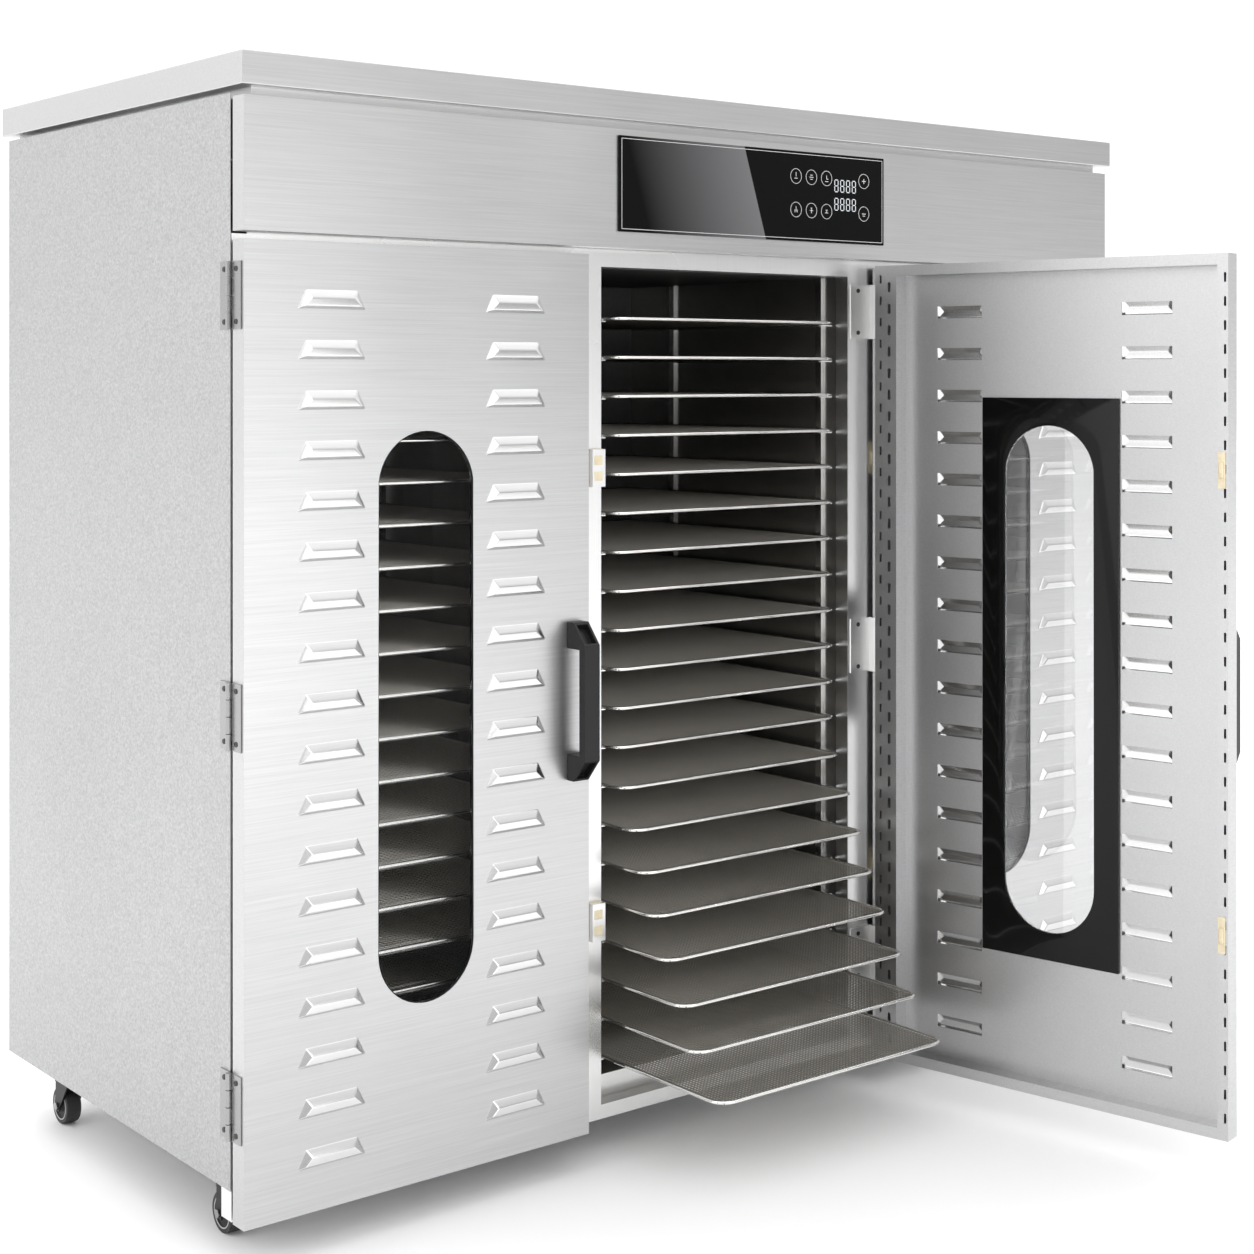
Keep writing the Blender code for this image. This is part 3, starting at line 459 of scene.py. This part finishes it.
# Chambers. Brushed walls under a ceiling laid with a thin dark plate of painted shade, a dark baffle with its
# fan opening at the back, and behind it the fans, their motors and the ring heaters.
wall_steel = steel("wall_steel", (0.62, 0.61, 0.59), 0.30, (900, 5, 900))
# Dark speckled metal for the baffle and the fan motors; laid on the bay ceilings, the same colour is painted
# shade.
dark_metal_and_shade = steel("dark_metal_and_shade", (0.14, 0.14, 0.14), 0.42, (300, 300, 300), speckle=0.15)
rack_steel = steel("rack_steel", (0.85, 0.85, 0.85), 0.18, (300, 300, 20))
for node, finish in {
    "chamber_liner": wall_steel, "chamber_floor": frame_steel, "rear_air_baffle": dark_metal_and_shade,
    "fan_motor_left": dark_metal_and_shade, "fan_motor_middle": dark_metal_and_shade, "fan_motor_right": dark_metal_and_shade,
    "fan_impeller_left": rack_steel, "fan_impeller_middle": rack_steel, "fan_impeller_right": rack_steel,
    "middle_rack_left": rack_steel, "middle_rack_right": rack_steel, "left_bay_rack": rack_steel,
    "right_bay_rack": rack_steel,
}.items():
    finish_node(node, finish)
# Each bay's ceiling gets a thin dark plate just under it: painted shade where the ceiling lies in shade.
for bay, near, far in (
    ("left", -0.7415, -0.3157), ("middle", -0.2298, 0.2298), ("right", 0.3157, 0.7415),
):
    roof = block((near, front_y + 0.0600, 1.1895), (far, front_y + 0.5420, 1.1910))
    dress(roof, f"{bay}_ceiling", "root", "dark_enamel", dark_metal_and_shade)

circuit, tree, shader = new_material("circuit_board")
shader.inputs["Roughness"].default_value = 0.35
where = tree.nodes.new("ShaderNodeTexCoord")
tracks = tree.nodes.new("ShaderNodeTexBrick")
tracks.inputs["Scale"].default_value = 60
tracks.inputs["Color1"].default_value = (0.02, 0.16, 0.06, 1)
tracks.inputs["Color2"].default_value = (0.03, 0.20, 0.08, 1)
tracks.inputs["Mortar"].default_value = (0.10, 0.32, 0.14, 1)
turn = tree.nodes.new("ShaderNodeMapping")
turn.inputs["Rotation"].default_value = to_front
tree.links.new(where.outputs["Object"], turn.inputs["Vector"])
tree.links.new(turn.outputs["Vector"], tracks.inputs["Vector"])
tree.links.new(tracks.outputs["Color"], shader.inputs["Base Color"])
finish_node("control_board", circuit)


# Trays. Each is a bent rim rod of bright stainless with a fine square net of duller wire welded across it.
# The middle bay's twenty slide, and the lower ones stand drawn out; those of the closed bays stay in.
def wire_tray(width, depth, pitch, wire, rod, corner=0.025, steps=5):
    """A tray of that outer size centred on the origin, its rim's top at Z = 0."""
    bpy.ops.object.select_all(action="DESELECT")
    bpy.ops.mesh.primitive_plane_add(size=1, location=(0, 0, -rod), scale=(1, 1, 1))
    rim = bpy.context.object
    rim.scale = (width - 2 * rod, depth - 2 * rod, 1)
    bpy.ops.object.transform_apply(location=True, rotation=True, scale=True)
    bpy.ops.object.mode_set(mode="EDIT")
    bpy.ops.mesh.select_all(action="SELECT")
    bpy.ops.mesh.bevel(offset=corner - rod, segments=steps, affect="VERTICES", offset_type="OFFSET")
    bpy.ops.mesh.delete(type="ONLY_FACE")
    bpy.ops.object.mode_set(mode="OBJECT")
    bpy.ops.object.convert(target="CURVE")
    rim = bpy.context.object
    rim.data.bevel_depth = rod
    rim.data.bevel_resolution = 2
    bpy.ops.object.convert(target="MESH")
    rim = bpy.context.object
    bpy.ops.object.shade_smooth()
    parts = []
    for along, across, turned in ((width, depth, False), (depth, width, True)):
        count = int((across - 0.012) / pitch)
        start = -(count - 1) * pitch / 2
        z = -rod - (wire if turned else 0)
        reach = along / 2 - 0.004
        if turned:
            bar = block((start - wire / 2, -reach, z), (start + wire / 2, reach, z + wire))
        else:
            bar = block((-reach, start - wire / 2, z), (reach, start + wire / 2, z + wire))
        rows = bar.modifiers.new("rows", "ARRAY")
        rows.count = count
        rows.use_relative_offset = False
        rows.use_constant_offset = True
        rows.constant_offset_displace = (pitch, 0, 0) if turned else (0, pitch, 0)
        bpy.context.view_layer.objects.active = bar
        bpy.ops.object.modifier_apply(modifier="rows")
        parts.append(bar)
    return rim, joined(parts)


rim_steel = steel("tray_rim_steel", (0.86, 0.85, 0.83), 0.16, (60, 60, 60))
net_steel = steel("tray_net_steel", (0.36, 0.345, 0.315), 0.34, (60, 60, 60))
rim, net = wire_tray(width=0.416, depth=0.490, pitch=0.0055, wire=0.0011, rod=0.0024)
for level in tray_levels:
    node = f"tray_{level:02d}"
    low, high = (Vector(corner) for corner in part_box(node))
    for pattern, name, finish, stands_for in (
        (rim, "rim", rim_steel, (node,)), (net, "net", net_steel, ()),
    ):
        mesh = pattern.data.copy()
        mesh.transform(Matrix.Translation(((low.x + high.x) / 2, (low.y + high.y) / 2, high.z)))
        part = bpy.data.objects.new(name, mesh)
        bpy.context.scene.collection.objects.link(part)
        dress(part, f"{node}_{name}", f"{node}_body", "bright_steel", finish, *stands_for)
bpy.data.objects.remove(rim)
bpy.data.objects.remove(net)
rim, net = wire_tray(width=0.381, depth=0.490, pitch=0.0080, wire=0.0012, rod=0.0024, steps=4)
top_tray_z, tray_pitch = 1.124, 0.0526
for bay, middle in (("left", -0.5285), ("right", 0.5285)):
    for pattern, name, finish in ((rim, "rims", rim_steel), (net, "nets", net_steel)):
        stack = []
        for level in tray_levels:
            mesh = pattern.data.copy()
            place = (middle, front_y + 0.275, top_tray_z - tray_pitch * (level - 1))
            mesh.transform(Matrix.Translation(place))
            part = bpy.data.objects.new(name, mesh)
            bpy.context.scene.collection.objects.link(part)
            stack.append(part)
        dress(joined(stack), f"{bay}_bay_tray_{name}", "root", "bright_steel", finish)
bpy.data.objects.remove(rim)
bpy.data.objects.remove(net)


# Doors. Each is a folded pan of brushed sheet with two columns of pressed louvers, and a stadium window
# behind which a glass pane, printed black round the opening, is held. They are all made closed, and the
# middle one is then swung open, so its steel has its grain turned with it.
open_turn = math.radians(102)
middle_hinge_x, middle_hinge_y = 0.2715, front_y - 0.0045
middle_axis = Vector((middle_hinge_x, middle_hinge_y, 0))
swing = (
    Matrix.Translation(middle_axis)
    @ Matrix.Rotation(open_turn, 4, "Z")
    @ Matrix.Translation(-middle_axis)
)
door_steel = steel("door_steel", (0.56, 0.56, 0.565), 0.32, (6, 520, 520), grain=0.17)
open_steel = steel(
    "open_door_steel", (0.56, 0.56, 0.565), 0.32, (6, 520, 520), grain=0.17, turn=-open_turn
)
louver_steel = steel("louver_steel", (0.70, 0.70, 0.70), 0.16, (30, 300, 300))

window_print, _, shader = new_material("window_print")
shader.inputs["Base Color"].default_value = (0.004, 0.004, 0.004, 1)
shader.inputs["Roughness"].default_value = 0.08
shader.inputs["Specular IOR Level"].default_value = 0.22

clear_glass, _, shader = new_material("clear_glass")
shader.inputs["Base Color"].default_value = (0.92, 0.94, 0.94, 1)
shader.inputs["Roughness"].default_value = 0.02
shader.inputs["IOR"].default_value = 1.30
shader.inputs["Transmission Weight"].default_value = 1.0
shader.inputs["Alpha"].default_value = 0.15

handle_black, tree, shader = new_material("handle_black")
shader.inputs["Base Color"].default_value = (0.008, 0.008, 0.0085, 1)
shader.inputs["Specular IOR Level"].default_value = 0.35
where = tree.nodes.new("ShaderNodeTexCoord")
mould = tree.nodes.new("ShaderNodeTexNoise")
mould.inputs["Scale"].default_value = 900
mould.inputs["Detail"].default_value = 2
level_out = tree.nodes.new("ShaderNodeMapRange")
level_out.inputs["To Min"].default_value = 0.34
level_out.inputs["To Max"].default_value = 0.48
bump = tree.nodes.new("ShaderNodeBump")
bump.inputs["Strength"].default_value = 0.2
bump.inputs["Distance"].default_value = 0.0002
tree.links.new(where.outputs["Object"], mould.inputs["Vector"])
tree.links.new(mould.outputs["Fac"], level_out.inputs["Value"])
tree.links.new(level_out.outputs["Result"], shader.inputs["Roughness"])
tree.links.new(mould.outputs["Fac"], bump.inputs["Height"])
tree.links.new(bump.outputs["Normal"], shader.inputs["Normal"])

# Painted shade: near-black for the strips at the bottoms of the door flange slots, standing for the shade in the
# hollow door behind them.
slot_shade_black, _, shader = new_material("slot_shade_black")
shader.inputs["Base Color"].default_value = (0.02, 0.02, 0.02, 1)
shader.inputs["Roughness"].default_value = 0.7


def stadium(x, z, width, height, y_low, y_high, points=48):
    """An upright block with round ends."""
    piece = added(
        bpy.ops.mesh.primitive_cylinder_add, vertices=points, radius=width / 2, depth=y_high - y_low,
        location=(x, (y_low + y_high) / 2, z), rotation=to_front,
    )
    for vert in piece.data.vertices:
        vert.co.z += (height - width) / 2 * (1 if vert.co.z > z else -1)
    return piece


def carve(piece, tool):
    """Cuts the tool out of the piece and removes the tool."""
    cut = piece.modifiers.new("cut", "BOOLEAN")
    cut.operation = "DIFFERENCE"
    cut.object = tool
    cut.solver = "EXACT"
    select_only(piece)
    bpy.ops.object.modifier_apply(modifier=cut.name)
    bpy.data.objects.remove(tool)
    return piece


def louver(depth=0.0052, wide=0.094, tall=0.021):
    """One pressed hood: long slope above, flat face, short lip below, hollow behind; front towards -Y."""
    piece = added(bpy.ops.mesh.primitive_cube_add, size=1, scale=(wide, depth, tall))
    for vert in piece.data.vertices:
        raised = vert.co.y < 0
        upper = vert.co.z > 0
        vert.co.x *= (0.62 if raised else 0.74) if upper else (0.86 if raised else 0.98)
        if raised:
            vert.co.z = 0.0020 if upper else -tall / 2 + 0.0022
        vert.co.y = -depth if raised else 0.0
    select_faces(piece, lambda face: face.normal.y > 0.9)
    bpy.ops.mesh.delete(type="FACE")
    bpy.ops.object.mode_set(mode="OBJECT")
    soft = piece.modifiers.new("soft", "BEVEL")
    soft.width = 0.0018
    soft.segments = 3
    soft.limit_method = "ANGLE"
    soft.angle_limit = math.radians(20)
    bpy.ops.object.modifier_apply(modifier=soft.name)
    # The die leaves a low bead all round the hood.
    bpy.ops.object.mode_set(mode="EDIT")
    bpy.ops.mesh.select_mode(type="EDGE")
    bpy.ops.mesh.select_all(action="DESELECT")
    bpy.ops.mesh.select_non_manifold()
    bpy.ops.transform.translate(value=(0, -0.0012, 0))
    bpy.ops.mesh.extrude_edges_move()
    bpy.ops.transform.resize(value=(1.022, 1, 1.11), center_override=(0, 0, 0))
    bpy.ops.transform.translate(value=(0, 0.0012, 0))
    bpy.ops.object.mode_set(mode="OBJECT")
    wall = piece.modifiers.new("wall", "SOLIDIFY")
    wall.thickness = 0.0007
    wall.offset = -1
    bpy.ops.object.modifier_apply(modifier=wall.name)
    return even_shading(piece, 30)


def screw(x, y, z, axis, radius=0.0033):
    """A dark pan-head screw with a cross in it, its head standing along the axis."""
    turn = Vector((0, 0, 1)).rotation_difference(Vector(axis))
    place = Matrix.Translation((x, y, z)) @ turn.to_matrix().to_4x4()
    head = added(
        bpy.ops.mesh.primitive_cylinder_add, vertices=20, radius=radius, depth=0.0016,
        location=(0, 0, 0.0004),
    )
    round_edges(head, 0.0006, 2)
    for wide, deep in ((radius * 0.6, 0.0005), (0.0005, radius * 0.6)):
        carve(head, block((-wide, -deep, 0.0007), (wide, deep, 0.003)))
    head.data.transform(place)
    return head


hinge_steel = steel("hinge_steel", (0.36, 0.36, 0.36), 0.24, (200, 200, 200))
screw_dark = steel("screw_dark", (0.10, 0.10, 0.10), 0.35, (300, 300, 300))
hood = louver()


def knuckle(x, y, low_z, high_z, radius=0.0037):
    """One rolled knuckle of a hinge."""
    barrel = added(
        bpy.ops.mesh.primitive_cylinder_add, vertices=24, radius=radius, depth=high_z - low_z,
        location=(x, y, (low_z + high_z) / 2),
    )
    return round_edges(barrel, 0.0005)


# The grip is moulded in black plastic: a flat bar between two sloping ends, each with a pocket in its slope.
handle = folded_copy("left_door_handle", 0)
bpy.ops.object.mode_set(mode="EDIT")
bpy.ops.mesh.select_mode(type="FACE")
for end in (-1, 1):
    bpy.ops.mesh.select_all(action="DESELECT")
    bpy.ops.object.mode_set(mode="OBJECT")
    for face in handle.data.polygons:
        face.select = face.normal.y < -0.3 and face.normal.z * end > 0.3
        if face.select:
            inwards = face.normal * -0.009
    bpy.ops.object.mode_set(mode="EDIT")
    bpy.ops.mesh.inset(thickness=0.0038)
    bpy.ops.mesh.extrude_region_move(TRANSFORM_OT_translate={"value": inwards})
bpy.ops.object.mode_set(mode="OBJECT")
round_edges(handle, 0.0012, 3, 25)
handle.data.transform(Matrix.Translation((0.2995, 0, 0)))

louver_top_z, louver_pitch = 1.1355, 0.060
for bay, x_hinge, x_free in (
    ("left", -body_half, -0.276), ("middle", 0.270, -0.270), ("right", body_half, 0.276),
):
    inward = 1 if x_free > x_hinge else -1
    low_x, high_x = sorted((x_hinge, x_free))
    centre = (low_x + high_x) / 2
    body = f"{bay}_door"
    opened = bay == "middle"
    finish = open_steel if opened else door_steel
    columns = [centre + side * 0.267 * (high_x - low_x) for side in (-1, 1)]
    rows = [louver_top_z - louver_pitch * row for row in range(18)]

    shell = block((low_x, front_y, 0.051), (high_x, front_y + 0.027, 1.204))
    select_faces(shell, lambda face: face.normal.y > 0.9)
    bpy.ops.mesh.inset(thickness=0.015)
    bpy.ops.mesh.extrude_region_move(TRANSFORM_OT_translate={"value": (0, -0.0258, 0)})
    bpy.ops.object.mode_set(mode="OBJECT")
    for vert in shell.data.vertices:
        if 0.001 < abs(vert.co.x - x_hinge) < 0.016:
            vert.co.x = x_hinge + inward * 0.036
    carve(shell, stadium(centre, window_z, 0.140, 0.706, front_y - 0.01, front_y + 0.01))
    tools = []
    for x in columns:
        for z in rows:
            low = (x - 0.0365, front_y - 0.01, z - 0.0090)
            tools.append(block(low, (x + 0.0365, front_y + 0.01, z + 0.0085)))
    carve(shell, joined(tools))
    tools = []
    slot_low_y, slot_high_y = front_y + 0.0225, front_y + 0.030
    for step in range(36):
        z = 0.0805 + step * 0.0312
        x = x_hinge + inward * 0.0240
        tools.append(stadium(x, z, 0.0050, 0.0150, slot_low_y, slot_high_y, 12))
        tools.append(block((x_hinge + inward * 0.0095 - 0.0016, slot_low_y, z + 0.006),
                           (x_hinge + inward * 0.0095 + 0.0016, slot_high_y, z + 0.018)))
        x = x_free - inward * 0.0042
        tools.append(stadium(x, z, 0.0034, 0.0130, slot_low_y, slot_high_y, 12))
    carve(shell, joined(tools))
    round_edges(shell, 0.0005)
    pieces = [dress(shell, f"{bay}_door_pan", body, "brushed_steel", finish, f"{bay}_door_shell")]

    # Dark strips at the bottoms of the flange slots: painted shade where the hollow of the door shows through.
    strips = []
    for x_low, x_high in (
        (x_hinge + inward * 0.0065, x_hinge + inward * 0.0270),
        (x_free - inward * 0.0065, x_free - inward * 0.0020),
    ):
        strips.append(block((x_low, front_y + 0.0222, 0.066), (x_high, front_y + 0.0229, 1.19)))
    pieces.append(dress(joined(strips), f"{bay}_door_slot_shade", body, "dark_enamel", slot_shade_black))

    hoods = []
    for x in columns:
        for z in rows:
            mesh = hood.data.copy()
            mesh.transform(Matrix.Translation((x, front_y + 0.0002, z)))
            copy = bpy.data.objects.new("hood", mesh)
            bpy.context.scene.collection.objects.link(copy)
            hoods.append(copy)
    pieces.append(dress(joined(hoods), f"{bay}_door_louvers", body, "bright_steel", louver_steel))

    low, high = (centre - 0.1045, front_y + 0.0015, 0.2335), (centre + 0.1045, front_y + 0.0055, 1.0135)
    pane = block(low, high, 0.0004)
    carve(pane, stadium(centre, window_z, 0.137, 0.703, front_y - 0.01, front_y + 0.02))
    pieces.append(dress(pane, f"{bay}_door_glass_print", body, "black_glass", window_print))
    clear = stadium(centre, window_z, 0.1366, 0.7026, front_y + 0.0020, front_y + 0.0050)
    dress(clear, f"{bay}_door_pane", body, "window_glass", clear_glass, f"{bay}_door_glass")
    pieces.append(clear)

    grip = bpy.data.objects.new("grip", handle.data.copy())
    bpy.context.scene.collection.objects.link(grip)
    grip.data.transform(Matrix.Translation((x_free - inward * 0.0235, 0, 0)))
    dress(grip, f"{bay}_door_grip", body, "black_plastic", handle_black, f"{bay}_door_handle")
    pieces.append(grip)

    strikes = []
    x = x_free - inward * 0.0085
    y = front_y + 0.027
    for z in catch_zs:
        strikes.append(block((x - 0.0052, y, z - 0.024), (x + 0.0052, y + 0.0016, z + 0.024), 0.0006))
        strikes.append(block((x - 0.0028, y + 0.0008, z - 0.010), (x + 0.0028, y + 0.0046, z + 0.010), 0.0012, 3))
    pieces.append(dress(joined(strikes), f"{bay}_door_strikes", body, "brushed_steel", ivory))

    axis_x = middle_hinge_x if opened else x_hinge - inward * 0.004
    axis_y = middle_hinge_y if opened else front_y + 0.030
    leaves, screws, cabinet_leaves, cabinet_screws = [], [], [], []
    for z in hinge_zs:
        bottom, top = z - 0.040, z + 0.040
        near, far = sorted((x_hinge, x_hinge - inward * (0.0014 if opened else 0.0020)))
        if opened:
            leaves.append(block((near, front_y + 0.0005, bottom), (far, front_y + 0.021, top), 0.0005))
            knuckles = ((z + 0.0005, z + 0.0198), (z + 0.0203, top))
        else:
            leaves.append(block((near, axis_y - 0.025, bottom), (far, axis_y - 0.0038, top), 0.0007))
            cabinet_leaves.append(block((near, axis_y + 0.0038, bottom), (far, axis_y + 0.025, top), 0.0007))
            knuckles = ((z - 0.0198, z - 0.0003), (z + 0.0203, top))
            for low_z, high_z in ((bottom, z - 0.0203), (z + 0.0003, z + 0.0198)):
                cabinet_leaves.append(knuckle(axis_x, axis_y, low_z, high_z))
                low, high = (near + 0.0003, axis_y, low_z), (far - 0.0003, axis_y + 0.006, high_z)
                cabinet_leaves.append(block(low, high))
            for dz in hinge_screw_dzs:
                face = x_hinge - inward * 0.0020
                screws.append(screw(face, axis_y - 0.0145, z + dz, (-inward, 0, 0)))
                cabinet_screws.append(screw(face, axis_y + 0.0145, z + dz, (-inward, 0, 0)))
        for low_z, high_z in knuckles:
            leaves.append(knuckle(axis_x, axis_y, low_z, high_z))
            reach = (axis_y + 0.0028, front_y + 0.002) if opened else (axis_y - 0.006, axis_y)
            leaves.append(block((near + 0.0003, reach[0], low_z), (far - 0.0003, reach[1], high_z)))
    pieces.append(dress(joined(leaves), f"{bay}_door_hinge_leaves", body, "bright_steel", hinge_steel))
    if screws:
        pieces.append(dress(joined(screws), f"{bay}_door_hinge_screws", body, "dark_enamel", screw_dark))
        dress(joined(cabinet_leaves), f"{bay}_cabinet_hinge_leaves", "root", "bright_steel", hinge_steel)
        dress(joined(cabinet_screws), f"{bay}_cabinet_hinge_screws", "root", "dark_enamel", screw_dark)
    if opened:
        for piece in pieces:
            piece.data.transform(swing)
bpy.data.objects.remove(hood)
bpy.data.objects.remove(handle)
frame_screws = []
for z in hinge_zs:
    for dz in hinge_screw_dzs:
        frame_screws.append(screw(0.2500, front_y + 0.0316, z + dz, (0, -1, 0)))
dress(joined(frame_screws), "frame_hinge_screws", "root", "dark_enamel", screw_dark)


# Casters. A black fork swivels on its stem and tapers to the axle; the wheel is solid black rubber with a
# grey bead round each side, on a bolt with a bright head.
rubber, tree, shader = new_material("caster_rubber")
where = tree.nodes.new("ShaderNodeTexCoord")
dust = tree.nodes.new("ShaderNodeTexNoise")
dust.inputs["Scale"].default_value = 160
dust.inputs["Detail"].default_value = 4
worn = tree.nodes.new("ShaderNodeMix")
worn.data_type = "RGBA"
worn.inputs["A"].default_value = (0.010, 0.010, 0.010, 1)
worn.inputs["B"].default_value = (0.035, 0.035, 0.036, 1)
shader.inputs["Roughness"].default_value = 0.55
tree.links.new(where.outputs["Object"], dust.inputs["Vector"])
tree.links.new(dust.outputs["Fac"], worn.inputs["Factor"])
tree.links.new(worn.outputs["Result"], shader.inputs["Base Color"])
bead_grey, _, shader = new_material("bead_grey")
shader.inputs["Base Color"].default_value = (0.45, 0.45, 0.45, 1)
shader.inputs["Roughness"].default_value = 0.45
for index in range(1, 5):
    low, high = (Vector(corner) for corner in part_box(f"caster_wheel_{index}"))
    centre = (low + high) / 2
    swivel, roller = f"caster_swivel_{index}", f"caster_roller_{index}"
    fork = folded_copy(f"caster_fork_{index}", 0.0009)
    dress(fork, f"caster_{index}_fork", swivel, "black_plastic", handle_black, f"caster_fork_{index}")

    wheel = added(
        bpy.ops.mesh.primitive_cylinder_add, vertices=48, radius=0.025, depth=0.021,
        location=centre, rotation=to_side,
    )
    for side in (-1, 1):
        select_faces(wheel, lambda face: face.normal.x * side > 0.9)
        for thickness, step in ((0.0075, -0.0030), (0.0015, 0.0), (0.0075, 0.0025)):
            bpy.ops.mesh.inset(thickness=thickness)
            if step:
                move = {"value": (side * step, 0, 0)}
                bpy.ops.mesh.extrude_region_move(TRANSFORM_OT_translate=move)
        bpy.ops.object.mode_set(mode="OBJECT")
    round_edges(wheel, 0.0022, 3)
    dress(wheel, f"caster_{index}_tyre", roller, "caster_rubber", rubber, f"caster_wheel_{index}")

    beads = []
    for side in (-1, 1):
        beads.append(added(
            bpy.ops.mesh.primitive_torus_add, location=centre + Vector((side * 0.0101, 0, 0)),
            rotation=to_side, major_radius=0.0188, minor_radius=0.0009, major_segments=48,
            minor_segments=8,
        ))
        bpy.ops.object.shade_smooth()
    dress(joined(beads), f"caster_{index}_beads", roller, "caster_rubber", bead_grey)

    bolts = []
    for side in (-1, 1):
        nut = added(
            bpy.ops.mesh.primitive_cylinder_add, vertices=6, radius=0.0058, depth=0.0034,
            location=centre + Vector((side * 0.0162, 0, 0)), rotation=to_side,
        )
        bolts.append(round_edges(nut, 0.0006))
    dress(joined(bolts), f"caster_{index}_bolt", swivel, "bright_steel", hinge_steel)

# Back. Pan-head screws hold the back panel to the side folds, and a black gland waits for the mains lead.
finish_node("power_gland", handle_black)
back_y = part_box("back_panel")[1][1]
back_screws = []
for side in (-1, 1):
    for step in range(7):
        back_screws.append(screw(side * fold_x, back_y, 0.13 + step * 0.20, (0, 1, 0), 0.0040))
for step in range(1, 8):
    for z in (0.105, 1.355):
        back_screws.append(screw(-fold_x + step * 0.19125, back_y, z, (0, 1, 0), 0.0040))
dress(joined(back_screws), "back_screws", "root", "bright_steel", hinge_steel)
